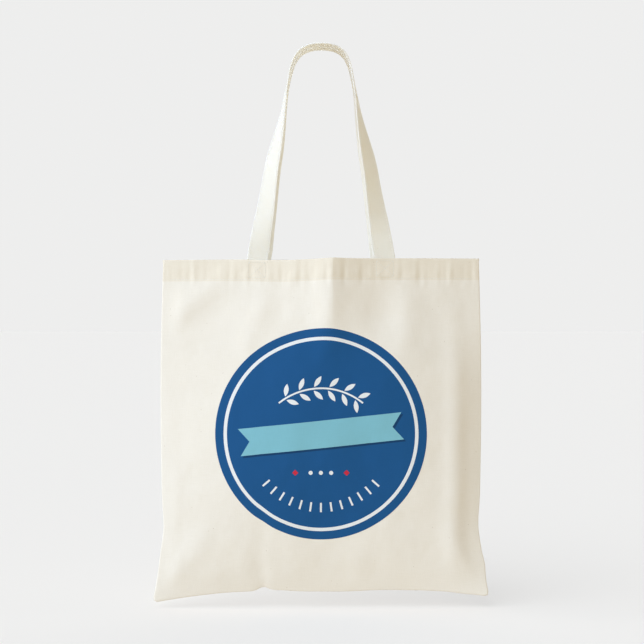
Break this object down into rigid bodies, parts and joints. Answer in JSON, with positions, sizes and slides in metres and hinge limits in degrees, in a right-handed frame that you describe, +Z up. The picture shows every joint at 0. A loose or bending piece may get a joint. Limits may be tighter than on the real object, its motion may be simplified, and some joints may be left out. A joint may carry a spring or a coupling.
{
  "type": "tote bag",
  "caption": "Flat cotton tote bag with a folded hem, two twisted strap handles sewn inside the mouth, and a round badge-style print on the front.",
  "frame": {"origin": "the hanging point: the underside of the two handle loops at their top, midway between them", "axes": "+Z up, -Y out of the printed front, +X to the right seen from the front"},
  "size_m": [0.396, 0.052, 0.6531],
  "materials": {
    "canvas": "matte plain-weave unbleached cotton",
    "strap": "matte folded cotton strap",
    "thread": "matte cotton sewing thread",
    "ink_blue": "matte printed ink on cotton",
    "ink_navy": "matte printed ink on cotton",
    "ink_aqua": "matte printed ink on cotton",
    "ink_red": "matte printed ink on cotton",
    "ink_white": "matte printed ink on cotton"
  },
  "bodies": {
    "bag_seams": {"left_side_seam": "canvas", "right_side_seam": "canvas", "bottom_seam": "canvas", "left_overlock_thread": "thread", "right_overlock_thread": "thread", "bottom_overlock_thread": "thread"},
    "front_panel": {"front_panel": "canvas", "front_hem": "canvas", "front_hem_stitching": "thread", "front_handle_end_left": "strap", "front_handle_end_right": "strap", "front_box_stitching_left": "thread", "front_box_stitching_right": "thread", "print_disc": "ink_blue", "print_ring": "ink_white", "print_sprig": "ink_white", "print_ribbon": "ink_aqua", "print_ribbon_shadow": "ink_navy", "print_diamonds": "ink_red", "print_dots": "ink_white", "print_ticks": "ink_white"},
    "back_panel": {"back_panel": "canvas", "back_hem": "canvas", "back_hem_stitching": "thread", "back_handle_end_left": "strap", "back_handle_end_right": "strap", "back_box_stitching_left": "thread", "back_box_stitching_right": "thread"},
    "front_handle": {"front_handle": "strap", "front_handle_stitching": "thread"},
    "back_handle": {"back_handle": "strap", "back_handle_stitching": "thread"}
  },
  "joints": [
    {"name": "front_mouth_opens", "type": "hinge", "parent": "bag_seams", "child": "front_panel", "pos_m": [0, 0, -0.653], "axis": [1, 0, 0], "range_deg": [0, 6]},
    {"name": "back_mouth_opens", "type": "hinge", "parent": "bag_seams", "child": "back_panel", "pos_m": [0, 0, -0.653], "axis": [-1, 0, 0], "range_deg": [0, 6]},
    {"name": "front_handle_folds", "type": "hinge", "parent": "front_panel", "child": "front_handle", "pos_m": [0, -0.0161, -0.249], "axis": [1, 0, 0], "range_deg": [0, 170]},
    {"name": "back_handle_folds", "type": "hinge", "parent": "back_panel", "child": "back_handle", "pos_m": [0, 0.0162, -0.249], "axis": [-1, 0, 0], "range_deg": [0, 170]}
  ]
}
